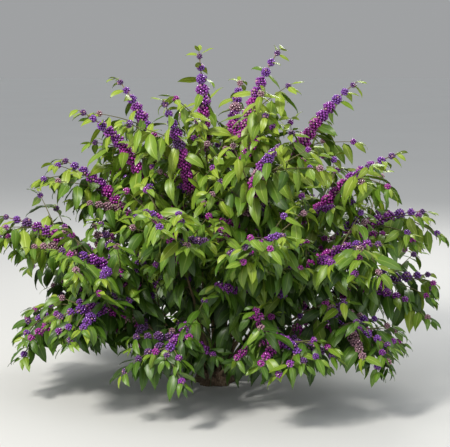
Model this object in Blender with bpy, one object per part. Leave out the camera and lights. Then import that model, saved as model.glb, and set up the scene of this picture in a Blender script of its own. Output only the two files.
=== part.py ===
"""American beautyberry, a shrub rooted in the ground: arching canes from one low stool.

Each cane is a bare stem that rises from the stool, and then a spray: the outer part of the same
cane with its side shoots, opposite leaves, and a ring of berries round every outer node.
Metres and degrees, +Z up, the front is -Y, and the origin is at ground level under the stool.
"""

import math
import random

import bmesh
import bpy
import numpy as np
from mathutils import Matrix, Vector
from mathutils.bvhtree import BVHTree
from mathutils.geometry import interpolate_bezier

# Where each cane goes: the way it leans (0 is +X, 90 the back, 270 the front), how far out and
# how high its tip is, and the slope of its last stretch, below the level where it is negative.
CANES = {
    "top_left": (162, 0.07, 1.43, 84),
    "top_right": (10, 0.28, 1.44, 54),
    "high_left": (190, 0.57, 1.19, 28),
    "high_back_left": (150, 0.50, 1.31, 46),
    "high_front_left": (236, 0.36, 1.24, 54),
    "high_front_right": (297, 0.56, 1.08, 26),
    "high_right": (10, 0.62, 1.30, 36),
    "high_back": (76, 0.48, 1.30, 44),
    "high_back_right": (40, 0.64, 1.12, 28),
    "left_upper": (166, 0.70, 0.96, 20),
    "right_upper": (343, 0.77, 1.02, 22),
    "right": (356, 0.90, 0.76, -2),
    "front_right": (325, 0.80, 0.69, 0),
    "front": (291, 0.73, 0.76, 6),
    "front_left": (246, 0.64, 0.84, 15),
    "left_front": (214, 0.74, 0.66, 14),
    "left": (179, 0.92, 0.73, 12),
    "back_left": (128, 0.80, 0.86, 10),
    "back": (92, 0.80, 0.76, 4),
    "back_right": (46, 0.82, 0.74, 6),
    "low_right": (5, 0.96, 0.46, 2),
    "low_front_right": (326, 0.84, 0.28, -30),
    "low_front": (296, 0.78, 0.28, -36),
    "low_front_left": (254, 0.66, 0.28, -38),
    "low_left_front": (218, 0.78, 0.40, -20),
    "low_left": (191, 0.82, 0.30, -20),
    "low_back_left": (156, 0.88, 0.48, -6),
    "low_back": (108, 0.82, 0.34, -20),
    "low_back_right": (62, 0.86, 0.36, -14),
}

# The stool: the woody foot that every cane springs from.
STOOL_RADIUS = 0.086
STOOL_HEIGHT = 0.068
STOOL_SIDES = 18
STOOL_LEVELS = 3
ROOT_LOBES = 6
ROOT_LOBE_DEPTH = 0.10

# Canes. A low cane leaves the stool near its rim, and a steep one near its middle.
FOOT_SPREAD = 0.074
FOOT_LEAN_SHARE = 0.72
STUB_SINK = 0.030
STUB_END = 0.062
FOOT_HANDLE = 0.40
TIP_HANDLE = 0.30
CANE_FOOT_RADIUS = 0.0085
CANE_ENTRY_RADIUS = 0.0055
CANE_TIP_RADIUS = 0.0022
SHOOT_RADIUS = 0.0032
CANE_SIDES = 5
SHOOT_SIDES = 4
STEM_SEGMENTS = 5
ENTRY_SHARE = 0.36
JOINT_GAP = 0.0003

# Nodes, side shoots, leaves and berries.
INTERNODE = 0.060
TIP_BARE = 0.020
LEAFY_NODE_STEP = 2
BERRY_NODES = 5
SHOOT_BERRY_NODES = 2
SHOOT_NODES = (1, 4)
SHOOT_LENGTH = 0.30
SHOOT_SHORTEST = 0.14
SHOOT_ANGLE = 46
SHOOT_LIFTS = (10, -15, 35, 60)
SHOOT_DROOP = 0.30
CLUSTER_RADIUS = 0.027
TIP_CLUSTER_SHARE = 0.6
LEAF_LENGTH = 0.215
LEAF_WIDTH_SHARE = 0.45
LEAF_THICKNESS_SHARE = 0.03
LEAF_BELLY_SHARE = 0.45
LEAF_DROOP = 38
LEAF_FITS = (1.0, 0.84, 0.68, 0.55)
TIP_LEAF_SHARE = 0.6
LEAF_ROOT_SINK = 0.0015
LEAF_SETBACK = 0.018
SPACE_MARGIN = 0.004
GROUND_CLEARANCE = 0.02
ROUTE_STEP = 0.02

BARK, LEAF, BERRY = range(3)
FINISHES = {
    "old_bark": ((0.115, 0.082, 0.055), 0.90),
    "cane_bark": ((0.200, 0.140, 0.090), 0.75),
    "leaf_green": ((0.105, 0.215, 0.040), 0.50),
    "berry_violet": ((0.190, 0.025, 0.260), 0.28),
}

UP = Vector((0, 0, 1))


def clear_scene():
    for obj in list(bpy.data.objects):
        bpy.data.objects.remove(obj)


def finish(name):
    """The named material, made once."""
    material = bpy.data.materials.get(name)
    if material is None:
        colour, roughness = FINISHES[name]
        material = bpy.data.materials.new(name)
        material.use_nodes = True
        shader = material.node_tree.nodes["Principled BSDF"]
        shader.inputs["Base Color"].default_value = (*colour, 1)
        shader.inputs["Roughness"].default_value = roughness
        shader.inputs["Metallic"].default_value = 0.0
    return material


def object_of(name, bm, finishes, collection=None):
    """A mesh object that holds bm, whose faces number their finish."""
    bmesh.ops.recalc_face_normals(bm, faces=bm.faces)
    mesh = bpy.data.meshes.new(name)
    bm.to_mesh(mesh)
    bm.free()
    for key in finishes:
        mesh.materials.append(finish(key))
    obj = bpy.data.objects.new(name, mesh)
    (collection or bpy.context.scene.collection).objects.link(obj)
    return obj


class Route:
    """A smooth line through points, read by the distance along it."""

    def __init__(self, points):
        self.points = [Vector(p) for p in points]
        self.marks = [0.0]
        for a, b in zip(self.points, self.points[1:]):
            self.marks.append(self.marks[-1] + (b - a).length)
        self.length = self.marks[-1]

    def at(self, distance):
        """(place, direction) at this distance from the start."""
        i = int(np.searchsorted(self.marks, distance, side="right")) - 1
        i = max(0, min(i, len(self.points) - 2))
        a, b = self.points[i], self.points[i + 1]
        share = (distance - self.marks[i]) / (self.marks[i + 1] - self.marks[i])
        return a.lerp(b, share), (b - a).normalized()

    def places(self, start=0.0):
        count = max(2, round((self.length - start) / ROUTE_STEP))
        return [self.at(start + (self.length - start) * i / count)[0] for i in range(count + 1)]


def level_across(along):
    """The level unit vector square to a direction, or +X where that stands upright."""
    level = along.cross(UP)
    return level.normalized() if level.length > 0.05 else Vector((1, 0, 0))


def heading(azimuth, slope):
    """The unit vector that points this way round and this far above the level."""
    a, e = math.radians(azimuth), math.radians(slope)
    return Vector((math.cos(a) * math.cos(e), math.sin(a) * math.cos(e), math.sin(e)))


def stool_height(radius):
    """How high the stool's rounded top is, this far from its middle."""
    return STOOL_HEIGHT * math.sqrt(max(0.0, 1 - (radius / STOOL_RADIUS) ** 2))


def cane_route(name):
    """The whole cane, from its foot on the stool to its tip, as it rises and arches over."""
    azimuth, reach, height, slope = CANES[name]
    tip = heading(azimuth, 0) * reach + UP * height
    elevation = math.degrees(math.atan2(height, reach))
    foot_radius = FOOT_SPREAD * (1 - elevation / 90) ** 0.75
    foot = heading(azimuth, 0) * foot_radius + UP * stool_height(foot_radius)
    rise = heading(azimuth, 90 - FOOT_LEAN_SHARE * (90 - elevation))
    chord = (tip - foot).length
    foot_handle = foot + rise * chord * FOOT_HANDLE
    tip_handle = tip - heading(azimuth, slope) * chord * TIP_HANDLE
    arch = interpolate_bezier(foot, foot_handle, tip_handle, tip, 60)
    return Route([foot - rise * STUB_SINK, *arch])


def shoot_route(start, direction, length):
    """A side shoot, which sags a little more the further it goes."""
    points = [start]
    steps = max(3, round(length / ROUTE_STEP))
    for _ in range(steps):
        direction = (direction - UP * SHOOT_DROOP / steps).normalized()
        points.append(points[-1] + direction * length / steps)
    return Route(points)


def ring_frames(places, directions):
    """A matrix at each place, looking along the limb and turned as little as can be."""
    frames = []
    side = level_across(directions[0])
    for place, along in zip(places, directions):
        side = (side - along * side.dot(along)).normalized()
        turn = Matrix((side, along.cross(side), along)).transposed()
        frames.append(Matrix.Translation(place) @ turn.to_4x4())
    return frames


def limb(bm, route, rings, sides):
    """Skins a limb over rings, each (distance, radius, finish of the stretch before it)."""
    frames = ring_frames(*zip(*[route.at(distance) for distance, _, _ in rings]))
    before = None
    for frame, (_, radius, kind) in zip(frames, rings):
        made = bmesh.ops.create_circle(bm, segments=sides, radius=radius, matrix=frame)
        edges = list({e for v in made["verts"] for e in v.link_edges})
        if before is None:
            bmesh.ops.contextual_create(bm, geom=edges)
        else:
            skin = bmesh.ops.bridge_loops(bm, edges=before + edges)
            for face in skin["faces"]:
                face.material_index = kind
                face.smooth = True
        before = edges
    bmesh.ops.contextual_create(bm, geom=before)


def nodes_along(route, start):
    """Distances of the leaf nodes on a cane or shoot, from the outermost inwards."""
    found = []
    distance = route.length - TIP_BARE
    while distance > start + INTERNODE * 0.4:
        found.append(distance)
        distance -= INTERNODE
    return found


def fruiting_rings(route, start, first_radius, nodes):
    """Rings of a cane that swells into a bunch of berries at each of these nodes, outermost first."""

    def thin(distance):
        share = (distance - start) / (route.length - start)
        return first_radius + (CANE_TIP_RADIUS - first_radius) * share

    rings = [(start, first_radius, BARK)]
    inner = nodes[-1] - INTERNODE / 2
    if inner > start + INTERNODE * 2:
        middle = (start + inner) / 2
        rings.append((middle, thin(middle), BARK))
    for i, node in reversed(list(enumerate(nodes))):
        waist = max(node - INTERNODE / 2, rings[-1][0] + INTERNODE * 0.1)
        rings.append((waist, thin(waist) * 1.5, BERRY if i < len(nodes) - 1 else BARK))
        rings.append((node, CLUSTER_RADIUS * size_share(i, TIP_CLUSTER_SHARE), BERRY))
    rings.append((route.length, CANE_TIP_RADIUS, BERRY))
    return rings


def size_share(number, at_tip):
    """How large a leaf or bunch is at this node: small at the tip, and whole from the fourth on."""
    return min(1.0, at_tip + (1 - at_tip) * number / 3)


def leaf_blade(root, out, across, length):
    """A leaf of six faces: it leaves its node along out, and hangs further over by its tip."""
    hang = Matrix.Rotation(-math.radians(LEAF_DROOP), 3, across) @ out
    belly = root + out * length * LEAF_BELLY_SHARE
    tip = belly + hang * length * (1 - LEAF_BELLY_SHARE)
    half_width = across * length * LEAF_WIDTH_SHARE / 2
    bm = bmesh.new()
    rim = [bm.verts.new(place) for place in (root, belly + half_width, tip, belly - half_width)]
    ridge = bm.verts.new(belly + across.cross(out) * length * LEAF_THICKNESS_SHARE)
    for i in range(4):
        bm.faces.new((rim[i], rim[(i + 1) % 4], ridge))
    bm.faces.new((rim[0], rim[3], rim[1]))
    bm.faces.new((rim[1], rim[3], rim[2]))
    for face in bm.faces:
        face.material_index = LEAF
    bmesh.ops.recalc_face_normals(bm, faces=bm.faces)
    return bm


class Spaces:
    """Shares the air out: each place belongs to the cane whose line is nearest."""

    def __init__(self, routes):
        self.names = list(routes)
        lines = [np.array(route.places(), float) for route in routes.values()]
        self.points = np.concatenate(lines)
        self.owner = np.concatenate([np.full(len(line), i) for i, line in enumerate(lines)])

    def room(self, name, place):
        """How far a place is inside its cane's own space, and less than 0 outside it."""
        distance = np.linalg.norm(self.points - np.array(place, float), axis=1)
        own = self.owner == self.names.index(name)
        return (distance[~own].min() - distance[own].min()) / 2


class Spray:
    """The leafy, fruiting outer part of one cane, made as pieces and then joined into one."""

    def __init__(self, name, route, spaces, stem):
        self.name, self.route, self.spaces = name, route, spaces
        self.start = route.length * ENTRY_SHARE + JOINT_GAP
        self.stem = stem
        self.pieces = []

    def inside(self, places, margin=SPACE_MARGIN):
        return all(p.z > GROUND_CLEARANCE and self.spaces.room(self.name, p) > margin for p in places)

    def add_leaf(self, place, along, side, key, share):
        """One leaf at a node, smaller where room is short, or none where it still doesn't fit."""
        chance = random.Random(f"{self.name} {key}")
        forward = (along - UP * along.z) * chance.uniform(0.3, 0.7)
        out = (side * 0.85 + forward - UP * chance.uniform(0.35, 0.9)).normalized()
        across = out.cross(UP).normalized()
        across.rotate(Matrix.Rotation(chance.uniform(-0.35, 0.35), 3, out))
        length = LEAF_LENGTH * share * chance.uniform(0.9, 1.1)
        for fit in LEAF_FITS:
            blade = leaf_blade(place - out * LEAF_ROOT_SINK, out, across, length * fit)
            clear = not BVHTree.FromBMesh(blade).overlap(self.stem)
            if clear and self.inside([v.co for v in blade.verts]):
                self.pieces.append(blade)
                return
            blade.free()

    def add_leaves(self, route, nodes, key):
        """Opposite leaves, each pair turned from the last where the cane stands upright."""
        for i, node in list(enumerate(nodes))[::LEAFY_NODE_STEP]:
            place, along = route.at(node - LEAF_SETBACK)
            side = level_across(along)
            turn = math.radians(45 * i) * max(0.0, along.z) ** 2
            side.rotate(Matrix.Rotation(turn, 3, along))
            for hand in (1, -1):
                share = size_share(i, TIP_LEAF_SHARE)
                self.add_leaf(place, along, side * hand, f"{key} node {i} hand {hand}", share)

    def add_cane(self):
        """The cane's own outer part, with its leaves and its side shoots."""
        nodes = nodes_along(self.route, self.start)
        bm = bmesh.new()
        rings = fruiting_rings(self.route, self.start, CANE_ENTRY_RADIUS, nodes[:BERRY_NODES])
        limb(bm, self.route, rings, CANE_SIDES)
        self.pieces.append(bm)
        self.add_leaves(self.route, nodes, "cane")
        for number, inner in enumerate(SHOOT_NODES):
            self.add_shoot(nodes[-1 - inner], number)

    def add_shoot(self, node, number):
        """A side shoot from one of the cane's inner nodes, on the way round that leaves it longest."""
        chance = random.Random(f"{self.name} shoot {number}")
        place, along = self.route.at(node)
        hand = 1 if (number + len(self.name)) % 2 else -1
        side = level_across(along) * hand
        angle = math.radians(SHOOT_ANGLE + chance.uniform(-8, 8))
        length = SHOOT_LENGTH * chance.uniform(0.85, 1.15)
        longest = None
        for lift in SHOOT_LIFTS:
            way = Matrix.Rotation(math.radians(-lift * hand), 3, along) @ side
            route = self.fitting_shoot(place, along * math.cos(angle) + way * math.sin(angle), length)
            if route and (longest is None or route.length > longest.length + ROUTE_STEP / 2):
                longest = route
        if longest is None:
            return
        nodes = nodes_along(longest, CLUSTER_RADIUS)
        bm = bmesh.new()
        rings = fruiting_rings(longest, 0.0, SHOOT_RADIUS, nodes[:SHOOT_BERRY_NODES])
        limb(bm, longest, rings, SHOOT_SIDES)
        self.pieces.append(bm)
        self.add_leaves(longest, nodes, f"shoot {number}")

    def fitting_shoot(self, place, direction, length):
        """The longest shoot this way that keeps to the cane's space and within its tip's reach."""
        reach = self.route.points[-1].length
        while length > SHOOT_SHORTEST:
            route = shoot_route(place, direction, length)
            if route.points[-1].length < reach and self.inside(route.places(0.06), CLUSTER_RADIUS):
                return route
            length -= ROUTE_STEP
        return None

    def joined(self):
        """One solid, made of all the pieces."""
        finishes = ("cane_bark", "leaf_green", "berry_violet")
        body = object_of("foliage_" + self.name, self.pieces[0], finishes)
        collection = new_collection()
        for number, piece in enumerate(self.pieces[1:]):
            object_of(f"piece_{number}", piece, finishes, collection)
        unite(body, collection)


def new_collection():
    collection = bpy.data.collections.new("pieces")
    bpy.context.scene.collection.children.link(collection)
    return collection


def unite(body, collection):
    """Joins a collection's objects into the body and then removes them."""
    union = body.modifiers.new("join", "BOOLEAN")
    union.operation = "UNION"
    union.operand_type = "COLLECTION"
    union.collection = collection
    union.solver = "EXACT"
    apply_modifiers(body)
    for piece in list(collection.objects):
        bpy.data.objects.remove(piece)
    bpy.data.collections.remove(collection)
    keep_outer_skin(body)


def apply_modifiers(obj):
    """Leaves the object with its evaluated mesh and no modifiers."""
    bpy.context.view_layer.update()
    graph = bpy.context.evaluated_depsgraph_get()
    mesh = bpy.data.meshes.new_from_object(obj.evaluated_get(graph))
    obj.modifiers.clear()
    obj.data = mesh


def keep_outer_skin(obj):
    """Keeps a mesh's largest skin, which drops loose scraps and the walls of sealed hollows."""
    bm = bmesh.new()
    bm.from_mesh(obj.data)
    skins, unseen = [], set(bm.faces)
    while unseen:
        skin = spread_from(unseen.pop())
        unseen -= skin
        skins.append(skin)
    skins.sort(key=len)
    scraps = [face for skin in skins[:-1] for face in skin]
    bmesh.ops.delete(bm, geom=scraps, context="FACES")
    bm.to_mesh(obj.data)
    bm.free()


def spread_from(face):
    """All the faces that join up with this one, edge to edge."""
    skin, front = {face}, [face]
    while front:
        for edge in front.pop().edges:
            beyond = set(edge.link_faces) - skin
            skin |= beyond
            front.extend(beyond)
    return skin


def make_stem(name, route):
    """The bare, tapering lower part of a cane, from its stub on the stool to its spray."""
    bm = bmesh.new()
    start, end = STUB_END + JOINT_GAP, route.length * ENTRY_SHARE
    rings = []
    for i in range(STEM_SEGMENTS + 1):
        share = i / STEM_SEGMENTS
        radius = CANE_FOOT_RADIUS + (CANE_ENTRY_RADIUS - CANE_FOOT_RADIUS) * share
        rings.append((start + (end - start) * share, radius, BARK))
    limb(bm, route, rings, CANE_SIDES)
    return object_of("stem_" + name, bm, ("cane_bark",))


def make_stool(routes):
    """The stool: a low lobed mound cut flat at ground level, with a stub for each cane."""
    bm = bmesh.new()
    before = None
    for level in range(STOOL_LEVELS):
        share = level / STOOL_LEVELS
        radius = STOOL_RADIUS * math.sqrt(1 - share**2)
        circle = bmesh.ops.create_circle(
            bm,
            segments=STOOL_SIDES,
            radius=radius,
            matrix=Matrix.Translation((0, 0, STOOL_HEIGHT * share)),
        )
        for vert in circle["verts"]:
            angle = math.atan2(vert.co.y, vert.co.x)
            swell = 1 + ROOT_LOBE_DEPTH * (1 - share) * math.cos(ROOT_LOBES * angle)
            vert.co.x *= swell
            vert.co.y *= swell
        edges = list({e for v in circle["verts"] for e in v.link_edges})
        if before is None:
            bmesh.ops.contextual_create(bm, geom=edges)
        else:
            bmesh.ops.bridge_loops(bm, edges=before + edges)
        before = edges
    bmesh.ops.contextual_create(bm, geom=before)
    stool = object_of("stool", bm, ("old_bark",))
    collection = new_collection()
    for name, route in routes.items():
        bm = bmesh.new()
        rings = [(0.0, CANE_FOOT_RADIUS, BARK), (STUB_END, CANE_FOOT_RADIUS * 1.04, BARK)]
        limb(bm, route, rings, CANE_SIDES)
        object_of("stub_" + name, bm, ("old_bark",), collection)
    unite(stool, collection)


def main():
    clear_scene()
    routes = {name: cane_route(name) for name in CANES}
    spaces = Spaces(routes)
    make_stool(routes)
    for name, route in routes.items():
        stem = make_stem(name, route)
        stem_tree = BVHTree.FromObject(stem, bpy.context.evaluated_depsgraph_get())
        spray = Spray(name, route, spaces, stem_tree)
        spray.add_cane()
        spray.joined()


main()
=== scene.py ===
"""American beautyberry: bark, canes, shoots, leaves and berries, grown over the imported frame.

The canes and side shoots follow the same rule and the same seeds as the part's own source, which
is written again here and carried to finer shoots. Metres and degrees, the front is -Y.
"""

import math
import random

import bmesh
import bpy
import numpy as np
from mathutils import Matrix, Vector, noise
from mathutils.geometry import interpolate_bezier


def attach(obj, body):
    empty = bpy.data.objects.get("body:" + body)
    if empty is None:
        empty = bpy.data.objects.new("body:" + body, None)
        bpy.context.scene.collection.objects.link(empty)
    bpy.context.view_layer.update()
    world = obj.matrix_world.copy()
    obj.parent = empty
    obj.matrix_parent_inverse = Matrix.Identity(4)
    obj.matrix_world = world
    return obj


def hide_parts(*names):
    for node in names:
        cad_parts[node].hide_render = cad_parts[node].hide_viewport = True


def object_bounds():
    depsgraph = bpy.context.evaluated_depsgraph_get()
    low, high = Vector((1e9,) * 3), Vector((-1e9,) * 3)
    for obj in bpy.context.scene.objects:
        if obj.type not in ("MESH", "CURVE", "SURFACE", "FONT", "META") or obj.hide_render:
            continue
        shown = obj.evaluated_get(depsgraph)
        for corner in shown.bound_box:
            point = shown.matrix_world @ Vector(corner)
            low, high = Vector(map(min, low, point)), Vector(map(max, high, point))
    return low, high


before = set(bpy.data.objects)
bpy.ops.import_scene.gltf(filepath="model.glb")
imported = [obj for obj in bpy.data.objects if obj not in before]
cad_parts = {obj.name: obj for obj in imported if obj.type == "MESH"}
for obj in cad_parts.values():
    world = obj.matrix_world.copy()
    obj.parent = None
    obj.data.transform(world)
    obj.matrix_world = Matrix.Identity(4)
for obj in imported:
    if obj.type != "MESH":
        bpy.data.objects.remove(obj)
cad_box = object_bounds()

# Canes, as the part's source has them: the way each one leans (0 is +X, 90 the back and 270 the
# front), how far out and how high its tip is, and the slope of its last stretch.
CANES = {
    "top_left": (162, 0.07, 1.43, 84),
    "top_right": (10, 0.28, 1.44, 54),
    "high_left": (190, 0.57, 1.19, 28),
    "high_back_left": (150, 0.50, 1.31, 46),
    "high_front_left": (236, 0.36, 1.24, 54),
    "high_front_right": (297, 0.56, 1.08, 26),
    "high_right": (10, 0.62, 1.30, 36),
    "high_back": (76, 0.48, 1.30, 44),
    "high_back_right": (40, 0.64, 1.12, 28),
    "left_upper": (166, 0.70, 0.96, 20),
    "right_upper": (343, 0.77, 1.02, 22),
    "right": (356, 0.90, 0.76, -2),
    "front_right": (325, 0.80, 0.69, 0),
    "front": (291, 0.73, 0.76, 6),
    "front_left": (246, 0.64, 0.84, 15),
    "left_front": (214, 0.74, 0.66, 14),
    "left": (179, 0.92, 0.73, 12),
    "back_left": (128, 0.80, 0.86, 10),
    "back": (92, 0.80, 0.76, 4),
    "back_right": (46, 0.82, 0.74, 6),
    "low_right": (5, 0.96, 0.46, 2),
    "low_front_right": (326, 0.84, 0.28, -30),
    "low_front": (296, 0.78, 0.28, -36),
    "low_front_left": (254, 0.66, 0.28, -38),
    "low_left_front": (218, 0.78, 0.40, -20),
    "low_left": (191, 0.82, 0.30, -20),
    "low_back_left": (156, 0.88, 0.48, -6),
    "low_back": (108, 0.82, 0.34, -20),
    "low_back_right": (62, 0.86, 0.36, -14),
}

# The stool and the canes, with the sizes of the part's source. The stool is rounder than its solid,
# and the canes' tips are slimmer.
STOOL_RADIUS = 0.086
STOOL_HEIGHT = 0.068
STOOL_SIDES = 60
STOOL_LEVELS = 14
ROOT_LOBES = 6
ROOT_LOBE_DEPTH = 0.10
FOOT_SPREAD = 0.074
FOOT_CROWDING = 0.75
FOOT_LEAN_SHARE = 0.72
STUB_SINK = 0.030
FOOT_HANDLE = 0.40
TIP_HANDLE = 0.30
ARCH_POINTS = 60
CANE_FOOT_RADIUS = 0.0085
CANE_ENTRY_RADIUS = 0.0055
CANE_TIP_RADIUS = 0.0020
SHOOT_RADIUS = 0.0032
SHOOT_TIP_RADIUS = 0.0012
ENTRY_SHARE = 0.36
LEAFY_SHARE = 0.20
ROUTE_STEP = 0.02
NEARLY_UPRIGHT = 0.05

# The bare branch at the foot: its start in the stool, two handles and its tip.
BARE_BRANCH = (
    (-0.050, -0.035, 0.035),
    (-0.13, -0.07, 0.010),
    (-0.21, -0.08, 0.020),
    (-0.27, -0.08, 0.105),
)
BARE_BRANCH_POINTS = 16

# Nodes and side shoots. The first two shoots of a cane are those of its solid, and the rest are
# finer. Shoots start at the solid's nodes, and leaves and berries are closer together. The foot of
# a shoot, where it is still beside its cane, isn't asked to keep its distance from other canes.
SHOOT_SPACING = 0.060
INTERNODE = 0.047
TIP_BARE = 0.020
LAST_GAP_SHARE = 0.4
SHOOT_NODES = (1, 4, 3, 2, 5, 0, 6, 7, 8, 1, 4, 3, 2, 5, 7, 6, 9, 0)
MAIN_SHOOTS = 2
SHOOT_LENGTH = 0.30
FINE_SHOOT_LENGTH = 0.27
SHOOT_LENGTH_RANGE = (0.85, 1.15)
SHOOT_SHORTEST = 0.14
FINE_SHOOT_SHORTEST = 0.08
SHOOT_ANGLE = 46
SHOOT_ANGLE_RANGE = (-8, 8)
SHOOT_LIFTS = (10, -15, 35, 60)
FINE_SHOOT_LIFTS = (35, -30, 60, 5, -10)
SHOOT_DROOP = 0.30
SHOOT_ROOM = 0.027
FINE_SHOOT_ROOM = 0.006
SHOOT_FOOT = 0.06
SHOOT_BARE_FOOT = 0.02
GROUND_CLEARANCE = 0.02

# Bark: the sides of a limb and the step between its rings, the ridges round and along a cane and
# how deep they are for its radius, and how its foot flares and its nodes swell.
CANE_SIDES = 8
CANE_RING_STEP = 0.016
SHOOT_SIDES = 5
SHOOT_RING_STEP = 0.03
FEWEST_RINGS = 3
BARK_RELIEF = 0.13
RIDGES_ROUND = 1.6
RIDGES_ALONG = 22
FIRST_NODE = 0.05
NODE_SWELL = 0.22
NODE_SWELL_LENGTH = 0.008
FOOT_FLARE = 0.75
FOOT_FLARE_LENGTH = 0.03
OLD_BARK_LENGTH = 0.14

# Lumps of the stool: how deep, and how many to a metre.
STOOL_LUMPS = ((0.10, 55), (0.05, 150))
STOOL_LUMP_LIFT = 0.5

# The shape of a leaf, in shares of its length from the cane to the tip. Its columns run from the
# edge of the blade to the midrib.
LEAF_ROWS = 8
EDGE_COLUMN = 1.0
QUILTED_COLUMN = 0.55
MIDRIB_COLUMN = 0.07
LEAF_COLUMNS = (EDGE_COLUMN, QUILTED_COLUMN, MIDRIB_COLUMN)
LEAF_HALF_WIDTH = 0.180
BLADE_FULLNESS = 3.05
BLADE_SHOULDER = 0.6
BLADE_TAPER = 1.2
STALK_SHARE = 0.08
STALK_HALF_WIDTH = 0.007
TOOTH_DEPTH = 0.06
VEIN_SWEEP = 0.05
VEIN_RELIEF = 0.016
BLADE_CUP = 0.5
LEAF_HANG = (0.7, 1.7)
LEAF_FOLD = (0.20, 0.60)
LEAF_TWIST = (-0.9, 0.9)
LEAF_SWAY = (-0.15, 0.15)
LEAF_SHAPES = 8

# How leaves are dealt out. Those near a tip are tender: smaller, and more upright and forward.
LEAF_LENGTH = 0.138
LEAF_LENGTH_RANGE = (0.84, 1.12)
LEAF_DROP = 0.005
TIP_LEAF_SHARE = 0.42
LEAF_GROWTH = 0.09
SHOOT_LEAF_GROWTH = 0.20
LEAF_SIDEWAYS = 0.85
LEAF_FORWARD = (0.3, 0.7)
LEAF_DROOP = (-0.05, 0.80)
LEAF_ROLL = (-0.7, 0.7)
TENDER_SPAN = 0.36
TENDER_FORWARD = 0.8
TENDER_LIFT = 0.40

# How light a leaf is, from how far out and how high it grows (painted sunlight and painted shade),
# how tender it is and chance, and the steps between the tones.
OUTWARD_PAINTED_LIGHT = 0.55
UPWARD_PAINTED_LIGHT = 0.45
TENDER_LIGHT = 0.2
LIGHT_SCATTER = 0.17
CROWN_REACH = 1.3
CROWN_HEIGHT = 1.4
TONE_STEPS = (0.88, 0.70, 0.52, 0.34)

# The shape of a bunch, in shares of its radius: berries round a core of stalks, coloured near black
# as painted shade in the gaps between the berries.
# They are 7 to 15 mm across on the plant, larger than life, as they are fewer.
FULL_BUNCH = 44
SMALL_BUNCH = 24
BUNCH_SHAPES = 4
CORE_RADIUS = 0.70
BERRY_RADIUS = {FULL_BUNCH: 0.185, SMALL_BUNCH: 0.245}
BERRY_RADIUS_RANGE = (0.88, 1.12)
BERRY_REACH = (0.90, 1.06)
BERRY_SHIFT = (-0.035, 0.035)
BERRY_TURN = (0, 3)
CHEEK_HOLLOW = 0.14
BUNCH_FLATNESS = 0.88
UNRIPE_SHARE = 0.07

# How bunches are dealt out: each rings its node, and they are fuller further from the tip.
BUNCH_RADIUS = 0.031
BUNCH_RADIUS_RANGE = (0.92, 1.08)
BUNCH_SPIN = (-0.3, 0.3)
TIP_BUNCH_SHARE = 0.54
BUNCH_GROWTH = 0.16
FULLEST_BUNCH = 1.10
FULLEST_SHOOT_BUNCH = 0.9
FULL_SHAPE_FROM = 0.80
CANE_BUNCHES = 9
SHOOT_BUNCHES = 4
FRUITING_SHOOTS = 6
CANE_TONE_SHARE = 0.85

# How far leaves and berries may stand out of the solids' box.
OVERHANG = 0.018

# The studio: its floor, its lights with their places, sizes, powers and colours, and the camera of
# the photograph, whose frame is 450 pixels wide.
FLOOR_SIZE = 60
SKY_STRENGTH = 0.52
BACKDROP_SHARE = 0.72
LIGHT_TARGET = (0, 0, 0.7)
LIGHTS = {
    "key_light": ((-2.6, -3.0, 4.4), 1.1, 280, (1.0, 0.97, 0.90)),
    "fill_light": ((3.8, -2.6, 2.4), 3.0, 45, (0.92, 0.96, 1.0)),
    "back_light": ((1.2, 3.6, 3.4), 2.0, 90, (1.0, 0.98, 0.94)),
}
CAMERA_TARGET = (0.043, 0, 0.70)
CAMERA_DISTANCE = 4.6
CAMERA_RISE = 9
SENSOR_WIDTH = 36
FOCAL_PIXELS = 1070
PHOTO_WIDTH = 450

UP = Vector((0, 0, 1))

# The finishes of a leaf and of a bunch, by their numbers on a face.
BLADE, VEIN = range(2)
SKIN, UNRIPE, STALKS_AND_SHADE = range(3)


# Materials

class Signal:
    """A shader socket that takes part in Python sums: each operator adds its Math node."""

    def __init__(self, finish, socket):
        self.finish, self.socket = finish, socket

    def maths(self, operation, first, second):
        """The output of a new Math node."""
        return self.finish.node("ShaderNodeMath", {"operation": operation}, {0: first, 1: second})

    def __add__(self, other):
        return self.maths("ADD", self, other)

    def __radd__(self, other):
        return self.maths("ADD", other, self)

    def __sub__(self, other):
        return self.maths("SUBTRACT", self, other)

    def __rsub__(self, other):
        return self.maths("SUBTRACT", other, self)

    def __mul__(self, other):
        return self.maths("MULTIPLY", self, other)

    def __rmul__(self, other):
        return self.maths("MULTIPLY", other, self)


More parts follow.
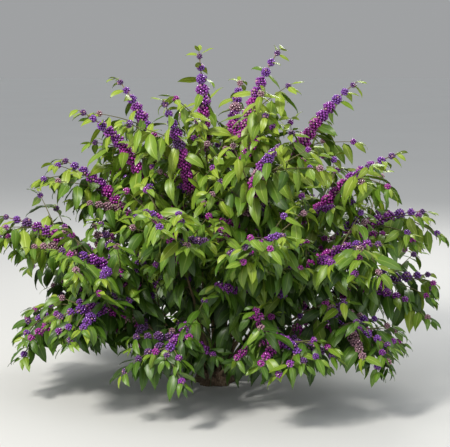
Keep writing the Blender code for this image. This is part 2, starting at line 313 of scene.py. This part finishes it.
class Finish:
    """A material with one Principled shader, and the nodes that feed it."""

    def __init__(self, name, sockets):
        self.material = bpy.data.materials.new(name)
        self.material.use_nodes = True
        self.tree = self.material.node_tree
        self.shader = self.tree.nodes["Principled BSDF"]
        for socket, value in sockets.items():
            self.feed(socket, value)

    def feed(self, socket, value):
        """Sets or links one of the shader's own sockets."""
        self.plug(self.shader.inputs[socket], value)

    def plug(self, socket, value):
        """Links a Signal to a socket, or sets the socket to a plain value."""
        if isinstance(value, Signal):
            self.tree.links.new(value.socket, socket)
        elif isinstance(value, tuple) and len(value) == 3 and socket.type == "RGBA":
            socket.default_value = (*value, 1)
        else:
            socket.default_value = value

    def node(self, kind, settings, sockets, output=0):
        """The output of a new node, whose settings are made first and then its sockets."""
        node = self.tree.nodes.new(kind)
        for key, value in settings.items():
            if key == "stops":
                self.set_stops(node.color_ramp, value)
            else:
                setattr(node, key, value)
        for key, value in sockets.items():
            self.plug(node.inputs[key], value)
        return Signal(self, node.outputs[output])

    def set_stops(self, ramp, stops):
        """A ramp of (place, colour) stops."""
        while len(ramp.elements) < len(stops):
            ramp.elements.new(0.5)
        for element, (place, colour) in zip(ramp.elements, stops):
            element.position = place
            element.color = (*colour, 1)

    def place(self, stretch=(1, 1, 1)):
        """Object coordinates, drawn out by a Mapping node."""
        where = self.node("ShaderNodeTexCoord", {}, {}, "Object")
        return self.node("ShaderNodeMapping", {}, {"Vector": where, "Scale": stretch})

    def speckle(self, scale, detail, where):
        """Noise from 0 to 1."""
        sockets = {"Vector": where, "Scale": scale, "Detail": detail}
        return self.node("ShaderNodeTexNoise", {}, sockets, "Fac")

    def mix(self, factor, first, second):
        """A blend of two colours, on the sockets that a Mix node keeps for colours."""
        sockets = {"Factor": factor, 6: first, 7: second}
        return self.node("ShaderNodeMix", {"data_type": "RGBA"}, sockets, 2)

    def bump(self, height, strength, distance):
        """Relief that is drawn by the shading alone."""
        sockets = {"Height": height, "Strength": strength, "Distance": distance}
        self.feed("Normal", self.node("ShaderNodeBump", {}, sockets))


def old_bark():
    """Grey-brown bark of the stool and the canes' feet, with pale flakes and dark cracks."""
    finish = Finish("old_bark", {"Specular IOR Level": 0.2})
    cracks = finish.speckle(scale=160, detail=6, where=finish.place(stretch=(1, 1, 0.22)))
    patches = finish.speckle(scale=28, detail=3, where=finish.place())
    shade = cracks * 0.65 + patches * 0.35
    stops = (
        (0.30, (0.030, 0.020, 0.013)),
        (0.52, (0.115, 0.080, 0.052)),
        (0.75, (0.300, 0.235, 0.165)),
    )
    finish.feed("Base Color", finish.node("ShaderNodeValToRGB", {"stops": stops}, {"Fac": shade}))
    finish.feed("Roughness", 1 - patches * 0.2)
    finish.bump(cracks + patches * 0.5, strength=0.7, distance=0.003)
    return finish.material


def cane_bark():
    """Tan bark of a grown cane, finely streaked along it, with greener patches."""
    finish = Finish("cane_bark", {"Specular IOR Level": 0.3})
    streaks = finish.speckle(scale=210, detail=4, where=finish.place(stretch=(1, 1, 0.15)))
    patches = finish.speckle(scale=18, detail=2, where=finish.place())
    warm = finish.mix(streaks, (0.125, 0.078, 0.042), (0.300, 0.215, 0.120))
    finish.feed("Base Color", finish.mix(patches * 0.6, warm, (0.170, 0.150, 0.070)))
    finish.feed("Roughness", 0.85 - streaks * 0.2)
    finish.bump(streaks, strength=0.4, distance=0.0015)
    return finish.material


def plain(name, colour, roughness, coat=0.0):
    """One even colour, for the small things that are dealt out by the spray."""
    sockets = {"Base Color": colour, "Roughness": roughness, "Coat Weight": coat}
    return Finish(name, sockets).material


# Leaf tones from the top of the crown to its deep inside: lit and shaded copies of one green, as
# painted sunlight and painted shade, and their lighter veins.
LEAF_TONES = {
    "sunlit": ((0.250, 0.350, 0.026), (0.430, 0.520, 0.110)),
    "fresh": ((0.165, 0.275, 0.018), (0.320, 0.420, 0.075)),
    "full": ((0.100, 0.200, 0.012), (0.210, 0.310, 0.050)),
    "deep": ((0.056, 0.130, 0.008), (0.130, 0.220, 0.032)),
    "shaded": ((0.030, 0.075, 0.006), (0.080, 0.140, 0.022)),
}
BERRY_TONES = {
    "violet": (0.220, 0.060, 0.400),
    "purple": (0.280, 0.045, 0.370),
    "magenta": (0.400, 0.036, 0.350),
    "dusky": (0.150, 0.055, 0.220),
    "faded": (0.370, 0.200, 0.250),
}

# The berry tones that a spray may take, and those of most bunches on a cane from its tip inwards.
SPRAY_TONES = ("violet", "purple", "magenta", "faded", "dusky")
CANE_TONES = ("dusky", "violet", "violet", "purple", "purple", "magenta")


# Routes, and how the crown's air is shared out

class Route:
    """A smooth line through points, read by the distance along it."""

    def __init__(self, points):
        self.points = [Vector(p) for p in points]
        self.marks = [0.0]
        for a, b in zip(self.points, self.points[1:]):
            self.marks.append(self.marks[-1] + (b - a).length)
        self.length = self.marks[-1]

    def at(self, distance):
        """(place, direction) at this distance from the start."""
        i = int(np.searchsorted(self.marks, distance, side="right")) - 1
        i = max(0, min(i, len(self.points) - 2))
        a, b = self.points[i], self.points[i + 1]
        share = (distance - self.marks[i]) / (self.marks[i + 1] - self.marks[i])
        return a.lerp(b, share), (b - a).normalized()

    def places(self, start=0.0):
        """Even places along the line, from this distance to its end."""
        count = max(2, round((self.length - start) / ROUTE_STEP))
        return [self.at(start + (self.length - start) * i / count)[0] for i in range(count + 1)]


def level_across(along):
    """The level unit vector square to a direction, or +X where that stands upright."""
    level = along.cross(UP)
    return level.normalized() if level.length > NEARLY_UPRIGHT else Vector((1, 0, 0))


def heading(azimuth, slope):
    """The unit vector that points this way round and this far above the level."""
    turn, rise = math.radians(azimuth), math.radians(slope)
    level = math.cos(rise)
    return Vector((math.cos(turn) * level, math.sin(turn) * level, math.sin(rise)))


def stool_height(radius):
    """How high the stool's rounded top is, this far from its middle."""
    return STOOL_HEIGHT * math.sqrt(max(0.0, 1 - (radius / STOOL_RADIUS) ** 2))


def cane_route(name):
    """The whole cane, from its foot on the stool to its tip, as it rises and arches over."""
    azimuth, reach, height, slope = CANES[name]
    tip = heading(azimuth, 0) * reach + UP * height
    elevation = math.degrees(math.atan2(height, reach))
    foot_radius = FOOT_SPREAD * (1 - elevation / 90) ** FOOT_CROWDING
    foot = heading(azimuth, 0) * foot_radius + UP * stool_height(foot_radius)
    rise = heading(azimuth, 90 - FOOT_LEAN_SHARE * (90 - elevation))
    chord = (tip - foot).length
    foot_handle = foot + rise * chord * FOOT_HANDLE
    tip_handle = tip - heading(azimuth, slope) * chord * TIP_HANDLE
    arch = interpolate_bezier(foot, foot_handle, tip_handle, tip, ARCH_POINTS)
    return Route([foot - rise * STUB_SINK, *arch])


def shoot_route(start, direction, length):
    """A side shoot, which sags a little more the further it goes."""
    points = [start]
    steps = max(3, round(length / ROUTE_STEP))
    for _ in range(steps):
        direction = (direction - UP * SHOOT_DROOP / steps).normalized()
        points.append(points[-1] + direction * length / steps)
    return Route(points)


def nodes_along(route, start, spacing=INTERNODE):
    """Distances of the nodes on a cane or shoot, from the outermost inwards."""
    found = []
    distance = route.length - TIP_BARE
    while distance > start + spacing * LAST_GAP_SHARE:
        found.append(distance)
        distance -= spacing
    return found


class Spaces:
    """Shares the air out: each place belongs to the cane whose line is nearest."""

    def __init__(self, routes):
        self.names = list(routes)
        lines = [np.array(route.places(), float) for route in routes.values()]
        self.points = np.concatenate(lines)
        self.owner = np.concatenate([np.full(len(line), i) for i, line in enumerate(lines)])

    def room(self, name, place):
        """How far a place is inside its cane's own space, and less than 0 outside it."""
        distance = np.linalg.norm(self.points - np.array(place, float), axis=1)
        own = self.owner == self.names.index(name)
        return (distance[~own].min() - distance[own].min()) / 2


# Shapes that are made once and then placed many times

def mesh_of(bm, name):
    """The mesh that a bmesh has become."""
    mesh = bpy.data.meshes.new(name)
    bm.to_mesh(mesh)
    bm.free()
    return mesh


def new_object(name, data):
    """A new object in the scene that holds this mesh, light or camera."""
    obj = bpy.data.objects.new(name, data)
    bpy.context.scene.collection.objects.link(obj)
    return obj


def axes_at(place, x, y, z):
    """The matrix that carries the origin to a place and turns the axes to these."""
    return Matrix.Translation(place) @ Matrix((x, y, z)).transposed().to_4x4()


def blade_half_width(share):
    """The half width of a blade, egg-shaped with a drawn-out tip, this share of the way along it."""
    return LEAF_HALF_WIDTH * BLADE_FULLNESS * share**BLADE_SHOULDER * (1 - share) ** BLADE_TAPER


def leaf_point(row, spread, hand, fold):
    """Where a point of the flat, folded and quilted leaf lies before it is bent."""
    if row == 0:
        return Vector((0, hand * STALK_HALF_WIDTH, 0))
    share = (row - 1) / (LEAF_ROWS - 1)
    tooth = 1 - TOOTH_DEPTH * (row % 2) * (spread == EDGE_COLUMN)
    half = max(STALK_HALF_WIDTH * (1 - share), blade_half_width(share) * spread * tooth)
    sweep = VEIN_SWEEP * spread * math.sin(math.pi * share)
    quilt = VEIN_RELIEF * (1 if row % 2 else -1) * (spread == QUILTED_COLUMN)
    cup = BLADE_CUP * half * half / LEAF_HALF_WIDTH
    x = STALK_SHARE + (1 - STALK_SHARE) * share + sweep
    return Vector((x, hand * half, fold * half + quilt - cup))


def bend_leaf(place, hang, twist, sway):
    """Twists a leaf about its midrib, sways it to a side, and hangs it over towards its tip."""
    place.rotate(Matrix.Rotation(twist * place.x, 3, "X"))
    place.y += sway * place.x**2
    turn = hang * place.x
    radius = 1 / hang + place.z
    place.x = radius * math.sin(turn)
    place.z = radius * math.cos(turn) - 1 / hang

def leaf_shape(number):
    """One leaf of length 1 along +X: a stalk, then a toothed, quilted blade that hangs over."""
    chance = random.Random(f"leaf shape {number}")
    hang = chance.uniform(*LEAF_HANG)
    fold = chance.uniform(*LEAF_FOLD)
    twist = chance.uniform(*LEAF_TWIST)
    sway = chance.uniform(*LEAF_SWAY)
    bm = bmesh.new()
    columns = len(LEAF_COLUMNS) * 2 - 1
    bmesh.ops.create_grid(bm, x_segments=LEAF_ROWS, y_segments=columns, size=0.5)
    for face in bm.faces:
        face.smooth = True
        face.material_index = VEIN if abs(face.calc_center_median().y) < 0.5 / columns else BLADE
    for vert in bm.verts:
        row = round((vert.co.x + 0.5) * LEAF_ROWS)
        column = round((vert.co.y + 0.5) * columns)
        inward = min(column, columns - column)
        hand = 1 if column > columns / 2 else -1
        vert.co = leaf_point(row, LEAF_COLUMNS[inward], hand, fold)
        bend_leaf(vert.co, hang, twist, sway)
    return mesh_of(bm, f"leaf_shape_{number}")


def berry_place(i, count, radius, chance):
    """Where a berry sits: on an even spiral round the bunch, drawn in between its two cheeks."""
    height = 1 - 2 * (i + 0.5) / count
    turn = i * math.pi * (3 - math.sqrt(5))
    ring = math.sqrt(1 - height * height)
    cheek = 1 - CHEEK_HOLLOW * abs(math.sin(turn)) * ring
    reach = (1 - radius) * chance.uniform(*BERRY_REACH) * cheek
    round_bunch = Vector((math.cos(turn) * ring, math.sin(turn) * ring, height * BUNCH_FLATNESS))
    return round_bunch * reach + Vector([chance.uniform(*BERRY_SHIFT) for _ in range(3)])


def add_ball(bm, radius, matrix, finish):
    """A ball of 20 faces in one finish."""
    made = bmesh.ops.create_icosphere(bm, subdivisions=1, radius=radius, matrix=matrix)
    for face in {face for vert in made["verts"] for face in vert.link_faces}:
        face.material_index = finish
        face.smooth = True


def bunch_shape(number, count):
    """One bunch of berries of radius 1 round +Z: two cheeks that meet round the cane."""
    chance = random.Random(f"bunch shape {number} of {count}")
    radius = BERRY_RADIUS[count]
    bm = bmesh.new()
    # A core of stalks, its near black a painted shade in the gaps between the berries.
    add_ball(bm, CORE_RADIUS, Matrix(), STALKS_AND_SHADE)
    for i in range(count):
        place = Matrix.Translation(berry_place(i, count, radius, chance))
        tip_over = Matrix.Rotation(chance.uniform(*BERRY_TURN), 4, "X")
        spin = Matrix.Rotation(chance.uniform(*BERRY_TURN), 4, "Z")
        size = radius * chance.uniform(*BERRY_RADIUS_RANGE)
        finish = UNRIPE if chance.random() < UNRIPE_SHARE else SKIN
        add_ball(bm, size, place @ (tip_over @ spin), finish)
    return mesh_of(bm, f"bunch_shape_{number}_of_{count}")


def in_box(place, over):
    """Whether a place is in the solids' box, or this far over it at most."""
    return all(a - over < p < b + over for a, p, b in zip(cad_box[0], place, cad_box[1]))


class Heap:
    """Many small things of one kind and finish, which are joined into one piece."""

    def __init__(self, name, materials):
        self.name, self.materials = name, materials
        self.bm = bmesh.new()

    def take(self, mesh):
        """Adds a mesh where it is, and lets go of it."""
        self.bm.from_mesh(mesh)
        bpy.data.meshes.remove(mesh)

    def add(self, shape, matrix):
        """Adds a placed copy of a shape, if all of it keeps to the solids' box or just over it."""
        if all(in_box(matrix @ vert.co, OVERHANG) for vert in shape.vertices):
            copy = shape.copy()
            copy.transform(matrix)
            self.take(copy)

    def piece(self, nodes, slot):
        """Makes the joined piece, which rides on the plant and stands for these nodes."""
        mesh = mesh_of(self.bm, self.name)
        for material in self.materials:
            mesh.materials.append(material)
        obj = new_object(self.name, mesh)
        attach(obj, "root")
        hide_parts(*nodes)


# Canes and the stool

def ring_frames(places, directions):
    """A matrix at each place, looking along the limb and turned as little as can be."""
    frames = []
    side = level_across(directions[0])
    for place, along in zip(places, directions):
        side = (side - along * side.dot(along)).normalized()
        frames.append(axes_at(place, side, along.cross(side), along))
    return frames


def skin_to(bm, before, ring, finish=0):
    """Joins a new ring to the edges of the one before it, or caps it where it is the first."""
    edges = list({edge for vert in ring for edge in vert.link_edges})
    if before is None:
        bmesh.ops.contextual_create(bm, geom=edges)
        return edges
    for face in bmesh.ops.bridge_loops(bm, edges=before + edges)["faces"]:
        face.material_index = finish
        face.smooth = True
    return edges


def close_end(bm, edges):
    """Caps the last ring, and turns every face outwards."""
    bmesh.ops.contextual_create(bm, geom=edges)
    bmesh.ops.recalc_face_normals(bm, faces=bm.faces)


def bark_ring(bm, matrix, radius, sides, relief, distance):
    """One ring of a limb, moved in and out by the ridges of its bark."""
    made = bmesh.ops.create_circle(bm, segments=sides, radius=radius, matrix=matrix)
    centre = matrix.translation
    for vert in made["verts"]:
        around = (vert.co - centre) / radius
        ridge = noise.noise(around * RIDGES_ROUND + Vector((0, 0, distance * RIDGES_ALONG)))
        vert.co = centre + (vert.co - centre) * (1 + relief * ridge)
    return made["verts"]


def limb(route, radius_at, step, sides, relief=0.0, changes_at=math.inf):
    """The mesh of a limb, which has its second finish past the distance changes_at."""
    count = max(FEWEST_RINGS, round(route.length / step))
    distances = [route.length * i / count for i in range(count + 1)]
    frames = ring_frames(*zip(*[route.at(distance) for distance in distances]))
    bm = bmesh.new()
    edges = None
    for matrix, distance in zip(frames, distances):
        ring = bark_ring(bm, matrix, radius_at(distance), sides, relief, distance)
        edges = skin_to(bm, edges, ring, int(distance >= changes_at))
    close_end(bm, edges)
    return mesh_of(bm, "limb")


def cane_radius(route, nodes, distance):
    """How thick a cane is: it tapers, flares at its foot and swells at its nodes."""
    entry = route.length * ENTRY_SHARE
    if distance < entry:
        share = distance / entry
        radius = CANE_FOOT_RADIUS + (CANE_ENTRY_RADIUS - CANE_FOOT_RADIUS) * share
    else:
        share = (distance - entry) / (route.length - entry)
        radius = CANE_ENTRY_RADIUS + (CANE_TIP_RADIUS - CANE_ENTRY_RADIUS) * share
    nearest = min(abs(distance - node) for node in nodes)
    swell = NODE_SWELL * math.exp(-((nearest / NODE_SWELL_LENGTH) ** 2))
    flare = FOOT_FLARE * math.exp(-max(0.0, distance - STUB_SINK) / FOOT_FLARE_LENGTH)
    return radius * (1 + swell + flare)


def cane_mesh(route):
    """A whole cane, from inside the stool to its tip."""
    nodes = nodes_along(route, STUB_SINK + FIRST_NODE)

    def radius_at(distance):
        return cane_radius(route, nodes, distance)

    return limb(route, radius_at, CANE_RING_STEP, CANE_SIDES, BARK_RELIEF, OLD_BARK_LENGTH)


def shoot_mesh(route):
    """The wood of a side shoot, which tapers to its tip."""

    def radius_at(distance):
        return SHOOT_RADIUS - (SHOOT_RADIUS - SHOOT_TIP_RADIUS) * distance / route.length

    return limb(route, radius_at, SHOOT_RING_STEP, SHOOT_SIDES)


def stool_ring(bm, share):
    """One ring of the stool, this share of the way up it, with its lobes and lumps."""
    radius = STOOL_RADIUS * math.sqrt(1 - share**2)
    lift = Matrix.Translation((0, 0, STOOL_HEIGHT * share))
    circle = bmesh.ops.create_circle(bm, segments=STOOL_SIDES, radius=radius, matrix=lift)
    for vert in circle["verts"]:
        angle = math.atan2(vert.co.y, vert.co.x)
        lobes = ROOT_LOBE_DEPTH * (1 - share) * math.cos(ROOT_LOBES * angle)
        lumps = sum(depth * noise.noise(vert.co * rate) for depth, rate in STOOL_LUMPS)
        vert.co.x *= 1 + lobes + lumps
        vert.co.y *= 1 + lobes + lumps
        vert.co.z *= 1 + STOOL_LUMP_LIFT * lumps
    return circle["verts"]


def make_stool(bark):
    """The stool: a low, lobed and lumpy foot, cut flat at the ground."""
    bm = bmesh.new()
    edges = None
    for level in range(STOOL_LEVELS):
        edges = skin_to(bm, edges, stool_ring(bm, level / STOOL_LEVELS))
    close_end(bm, edges)
    heap = Heap("stool_bark", [bark])
    heap.take(mesh_of(bm, "stool"))
    heap.piece(["stool"], "stool")


# The leafy, fruiting sprays

class Garden:
    """The heaps that everything grows into, and the shapes that are placed in them."""

    def __init__(self):
        self.old_bark = old_bark()
        green_wood = plain("green_wood", (0.150, 0.135, 0.050), roughness=0.7)
        unripe = plain("unripe_berry", (0.480, 0.250, 0.340), roughness=0.45)
        # The stalks' core is near black: painted shade between the berries, over their real stalks.
        stalks_and_shade = plain("bunch_stalk_core_painted_shade", (0.045, 0.016, 0.040), roughness=0.8)
        self.canes = Heap("cane_bark", [self.old_bark, cane_bark()])
        self.shoots = Heap("shoot_wood", [green_wood])
        self.leaves, self.berries = {}, {}
        for tone, (blade, vein) in LEAF_TONES.items():
            finishes = [
                plain("leaf_" + tone, blade, roughness=0.40),
                plain("vein_" + tone, vein, roughness=0.55),
            ]
            self.leaves[tone] = Heap("leaves_" + tone, finishes)
        for tone, colour in BERRY_TONES.items():
            skin = plain("berry_" + tone, colour, roughness=0.22, coat=0.5)
            self.berries[tone] = Heap("berries_" + tone, [skin, unripe, stalks_and_shade])
        self.leaf_shapes = [leaf_shape(i) for i in range(LEAF_SHAPES)]
        self.full_bunches = [bunch_shape(i, FULL_BUNCH) for i in range(BUNCH_SHAPES)]
        self.small_bunches = [bunch_shape(i, SMALL_BUNCH) for i in range(BUNCH_SHAPES)]

    def add_bare_branch(self):
        """The one bare branch that sags near the ground on the left."""
        points = [Vector(point) for point in BARE_BRANCH]
        self.shoots.take(shoot_mesh(Route(interpolate_bezier(*points, BARE_BRANCH_POINTS))))

    def finish(self, stems, masses):
        """Makes a piece of every heap, which stands for the masses, and the canes for stems too."""
        self.canes.piece(stems + masses, "stem")
        self.shoots.piece(masses, "foliage")
        for heap in [*self.leaves.values(), *self.berries.values()]:
            heap.piece(masses, "foliage")


def lifts_to_try(number):
    """The turns round the cane that a shoot tries. Finer shoots each start with another."""
    if number < MAIN_SHOOTS:
        return SHOOT_LIFTS
    first = number % len(FINE_SHOOT_LIFTS)
    return FINE_SHOOT_LIFTS[first:] + FINE_SHOOT_LIFTS[:first]


def leaf_tone(place, tender, chance):
    """Lighter leaves high up and far out as painted sunlight, darker ones low down and deep inside as
    painted shade, and lighter ones at tender tips.
    """
    # Reach and height paint sunlight and shade into the tone; tenderness and chance are the leaf's
    # own.
    outward = OUTWARD_PAINTED_LIGHT * (place.length / CROWN_REACH)
    upward = UPWARD_PAINTED_LIGHT * place.z / CROWN_HEIGHT
    light = outward + upward + TENDER_LIGHT * tender + chance.gauss(0, LIGHT_SCATTER)
    return list(LEAF_TONES)[sum(light < step for step in TONE_STEPS)]


class Spray:
    """The leafy, fruiting outer part of one cane."""

    def __init__(self, name, route, spaces, garden):
        self.name, self.route, self.spaces, self.garden = name, route, spaces, garden

    def inside(self, places, margin):
        """Whether all places are clear of the ground and this far inside the cane's own space."""
        return all(p.z > GROUND_CLEARANCE and self.spaces.room(self.name, p) > margin for p in places)

    def grow(self):
        """The cane itself, dressed, and its side shoots."""
        nodes = nodes_along(self.route, self.route.length * ENTRY_SHARE, SHOOT_SPACING)
        self.garden.canes.take(cane_mesh(self.route))
        self.dress(self.route, self.route.length * LEAFY_SHARE, "cane", CANE_BUNCHES)
        for number, inner in enumerate(SHOOT_NODES):
            if inner < len(nodes):
                self.add_shoot(nodes[-1 - inner], number)

    def add_shoot(self, node, number):
        """A side shoot from an inner node, dressed, if one fits there."""
        route = self.find_shoot(node, number)
        if route is None:
            return
        self.garden.shoots.take(shoot_mesh(route))
        bunches = SHOOT_BUNCHES if number < FRUITING_SHOOTS else 1
        self.dress(route, SHOOT_BARE_FOOT, f"shoot {number}", bunches)

    def find_shoot(self, node, number):
        """A main shoot on the way round that leaves it longest, or a fine one where it first fits."""
        chance = random.Random(f"{self.name} shoot {number}")
        place, along = self.route.at(node)
        hand = 1 if (number + len(self.name)) % 2 else -1
        side = level_across(along) * hand
        angle = math.radians(SHOOT_ANGLE + chance.uniform(*SHOOT_ANGLE_RANGE))
        fine = number >= MAIN_SHOOTS
        length = (FINE_SHOOT_LENGTH if fine else SHOOT_LENGTH) * chance.uniform(*SHOOT_LENGTH_RANGE)
        longest = None
        for lift in lifts_to_try(number):
            way = Matrix.Rotation(math.radians(-lift * hand), 3, along) @ side
            direction = along * math.cos(angle) + way * math.sin(angle)
            route = self.fitting_shoot(place, direction, length, fine)
            if route and (longest is None or route.length > longest.length + ROUTE_STEP / 2):
                longest = route
            if fine and longest:
                break
        return longest

    def fitting_shoot(self, place, direction, length, fine):
        """The longest shoot this way that keeps to the cane's space and within its tip's reach."""
        reach = self.route.points[-1].length
        shortest = FINE_SHOOT_SHORTEST if fine else SHOOT_SHORTEST
        room = FINE_SHOOT_ROOM if fine else SHOOT_ROOM
        while length > shortest:
            route = shoot_route(place, direction, length)
            tip = route.points[-1]
            if tip.length < reach and in_box(tip, 0) and self.inside(route.places(SHOOT_FOOT), room):
                return route
            length -= ROUTE_STEP
        return None

    def dress(self, route, start, key, bunches):
        """Opposite leaves at every node, and a bunch of berries round each of the outer ones."""
        chance = random.Random(f"{self.name} {key} dress")
        nodes = [route.length, *nodes_along(route, start)]
        tone = chance.choice(SPRAY_TONES)
        on_cane = key == "cane"
        growth = LEAF_GROWTH if on_cane else SHOOT_LEAF_GROWTH
        for i, node in enumerate(nodes):
            place, along = route.at(node)
            side = level_across(along)
            turn = math.radians(90 * (i % 2)) * max(0.0, along.z) ** 2
            side.rotate(Matrix.Rotation(turn, 3, along))
            for hand in (1, -1):
                share = min(1.0, TIP_LEAF_SHARE + growth * i)
                self.add_leaf(place, along, side * hand, chance, share)
            if 0 < i <= bunches:
                self.add_bunch(place, along, chance, i - 1, on_cane, tone)

    def add_leaf(self, place, along, side, chance, share):
        """A leaf: small and spreading at the tip, and from there larger and more hanging."""
        tender = max(0.0, 1 - (share - TIP_LEAF_SHARE) / TENDER_SPAN)
        level = along - UP * along.z
        forward = level * chance.uniform(*LEAF_FORWARD) + along * tender * TENDER_FORWARD
        drop = chance.uniform(*LEAF_DROOP) - TENDER_LIFT * tender
        out = (side * LEAF_SIDEWAYS + forward - UP * drop).normalized()
        across = UP.cross(out).normalized()
        across.rotate(Matrix.Rotation(chance.uniform(*LEAF_ROLL), 3, out))
        length = LEAF_LENGTH * share * chance.uniform(*LEAF_LENGTH_RANGE)
        start = place - UP * LEAF_DROP * share
        matrix = axes_at(start, out, across, out.cross(across)) @ Matrix.Scale(length, 4)
        shape = self.garden.leaf_shapes[chance.randrange(LEAF_SHAPES)]
        self.garden.leaves[leaf_tone(place, tender, chance)].add(shape, matrix)

    def add_bunch(self, place, along, chance, number, on_cane, tone):
        """A bunch round the stem: small at the tip, and so full further in that they merge."""
        side = level_across(along)
        share = min(FULLEST_BUNCH, TIP_BUNCH_SHARE + BUNCH_GROWTH * number)
        if not on_cane:
            share = min(FULLEST_SHOOT_BUNCH, share)
        radius = BUNCH_RADIUS * share * chance.uniform(*BUNCH_RADIUS_RANGE)
        spin = Matrix.Rotation(chance.uniform(*BUNCH_SPIN), 4, "Z")
        matrix = axes_at(place, side, along.cross(side), along) @ spin @ Matrix.Scale(radius, 4)
        full = share > FULL_SHAPE_FROM
        shapes = self.garden.full_bunches if full else self.garden.small_bunches
        shape = shapes[chance.randrange(BUNCH_SHAPES)]
        if on_cane and chance.random() < CANE_TONE_SHARE:
            tone = CANE_TONES[min(number, len(CANE_TONES) - 1)]
        self.garden.berries[tone].add(shape, matrix)


# The studio

def aim(obj, target):
    """Turns a light or the camera to look at a point."""
    obj.rotation_euler = (Vector(target) - obj.location).to_track_quat("-Z", "Y").to_euler()


def add_light(name, place, size, power, colour):
    """A soft round light, which looks at the middle of the plant."""
    lamp = bpy.data.lights.new(name, "AREA")
    lamp.shape = "DISK"
    lamp.size = size
    lamp.energy = power
    lamp.color = colour
    obj = new_object(name, lamp)
    obj.location = place
    aim(obj, LIGHT_TARGET)


def make_sky():
    """Even light from all round, behind a plain backdrop of the far floor's own tone."""
    world = bpy.data.worlds.new("studio")
    world.use_nodes = True
    tree = world.node_tree
    light = tree.nodes["Background"]
    light.inputs["Color"].default_value = (0.94, 0.97, 1.0, 1)
    light.inputs["Strength"].default_value = SKY_STRENGTH
    backdrop = tree.nodes.new("ShaderNodeBackground")
    backdrop.inputs["Color"].default_value = (0.93, 0.95, 0.97, 1)
    backdrop.inputs["Strength"].default_value = SKY_STRENGTH * BACKDROP_SHARE
    seen = tree.nodes.new("ShaderNodeLightPath")
    mixed = tree.nodes.new("ShaderNodeMixShader")
    tree.links.new(seen.outputs["Is Camera Ray"], mixed.inputs["Fac"])
    tree.links.new(light.outputs["Background"], mixed.inputs[1])
    tree.links.new(backdrop.outputs["Background"], mixed.inputs[2])
    tree.links.new(mixed.outputs["Shader"], tree.nodes["World Output"].inputs["Surface"])
    bpy.context.scene.world = world


def make_floor():
    """A plain pale floor, faintly mottled."""
    bm = bmesh.new()
    bmesh.ops.create_grid(bm, x_segments=1, y_segments=1, size=FLOOR_SIZE)
    mesh = mesh_of(bm, "studio_floor")
    finish = Finish("studio_floor", {"Roughness": 0.9})
    mottle = finish.speckle(scale=0.6, detail=2, where=finish.place())
    finish.feed("Base Color", finish.mix(mottle, (0.66, 0.66, 0.65), (0.70, 0.70, 0.69)))
    mesh.materials.append(finish.material)
    new_object("studio_floor", mesh)


def make_studio():
    """The floor and the sky, soft light from both sides and behind, and colours shown plainly."""
    make_floor()
    make_sky()
    bpy.context.scene.view_settings.view_transform = "Standard"
    for name, (place, size, power, colour) in LIGHTS.items():
        add_light(name, place, size, power, colour)


def add_camera():
    """The photograph's view."""
    target = Vector(CAMERA_TARGET)
    rise = math.radians(CAMERA_RISE)
    camera = bpy.data.cameras.new("camera")
    camera.sensor_width = SENSOR_WIDTH
    camera.lens = SENSOR_WIDTH * FOCAL_PIXELS / PHOTO_WIDTH
    obj = new_object("camera", camera)
    obj.location = target + Vector((0, -math.cos(rise), math.sin(rise))) * CAMERA_DISTANCE
    aim(obj, target)
    bpy.context.scene.camera = obj


def main():
    """Grows the plant cane by cane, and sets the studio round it."""
    garden = Garden()
    routes = {name: cane_route(name) for name in CANES}
    spaces = Spaces(routes)
    make_stool(garden.old_bark)
    for name, route in routes.items():
        Spray(name, route, spaces, garden).grow()
    garden.add_bare_branch()
    stems = ["stem_" + name for name in CANES]
    masses = ["foliage_" + name for name in CANES]
    garden.finish(stems, masses)
    make_studio()
    add_camera()


main()
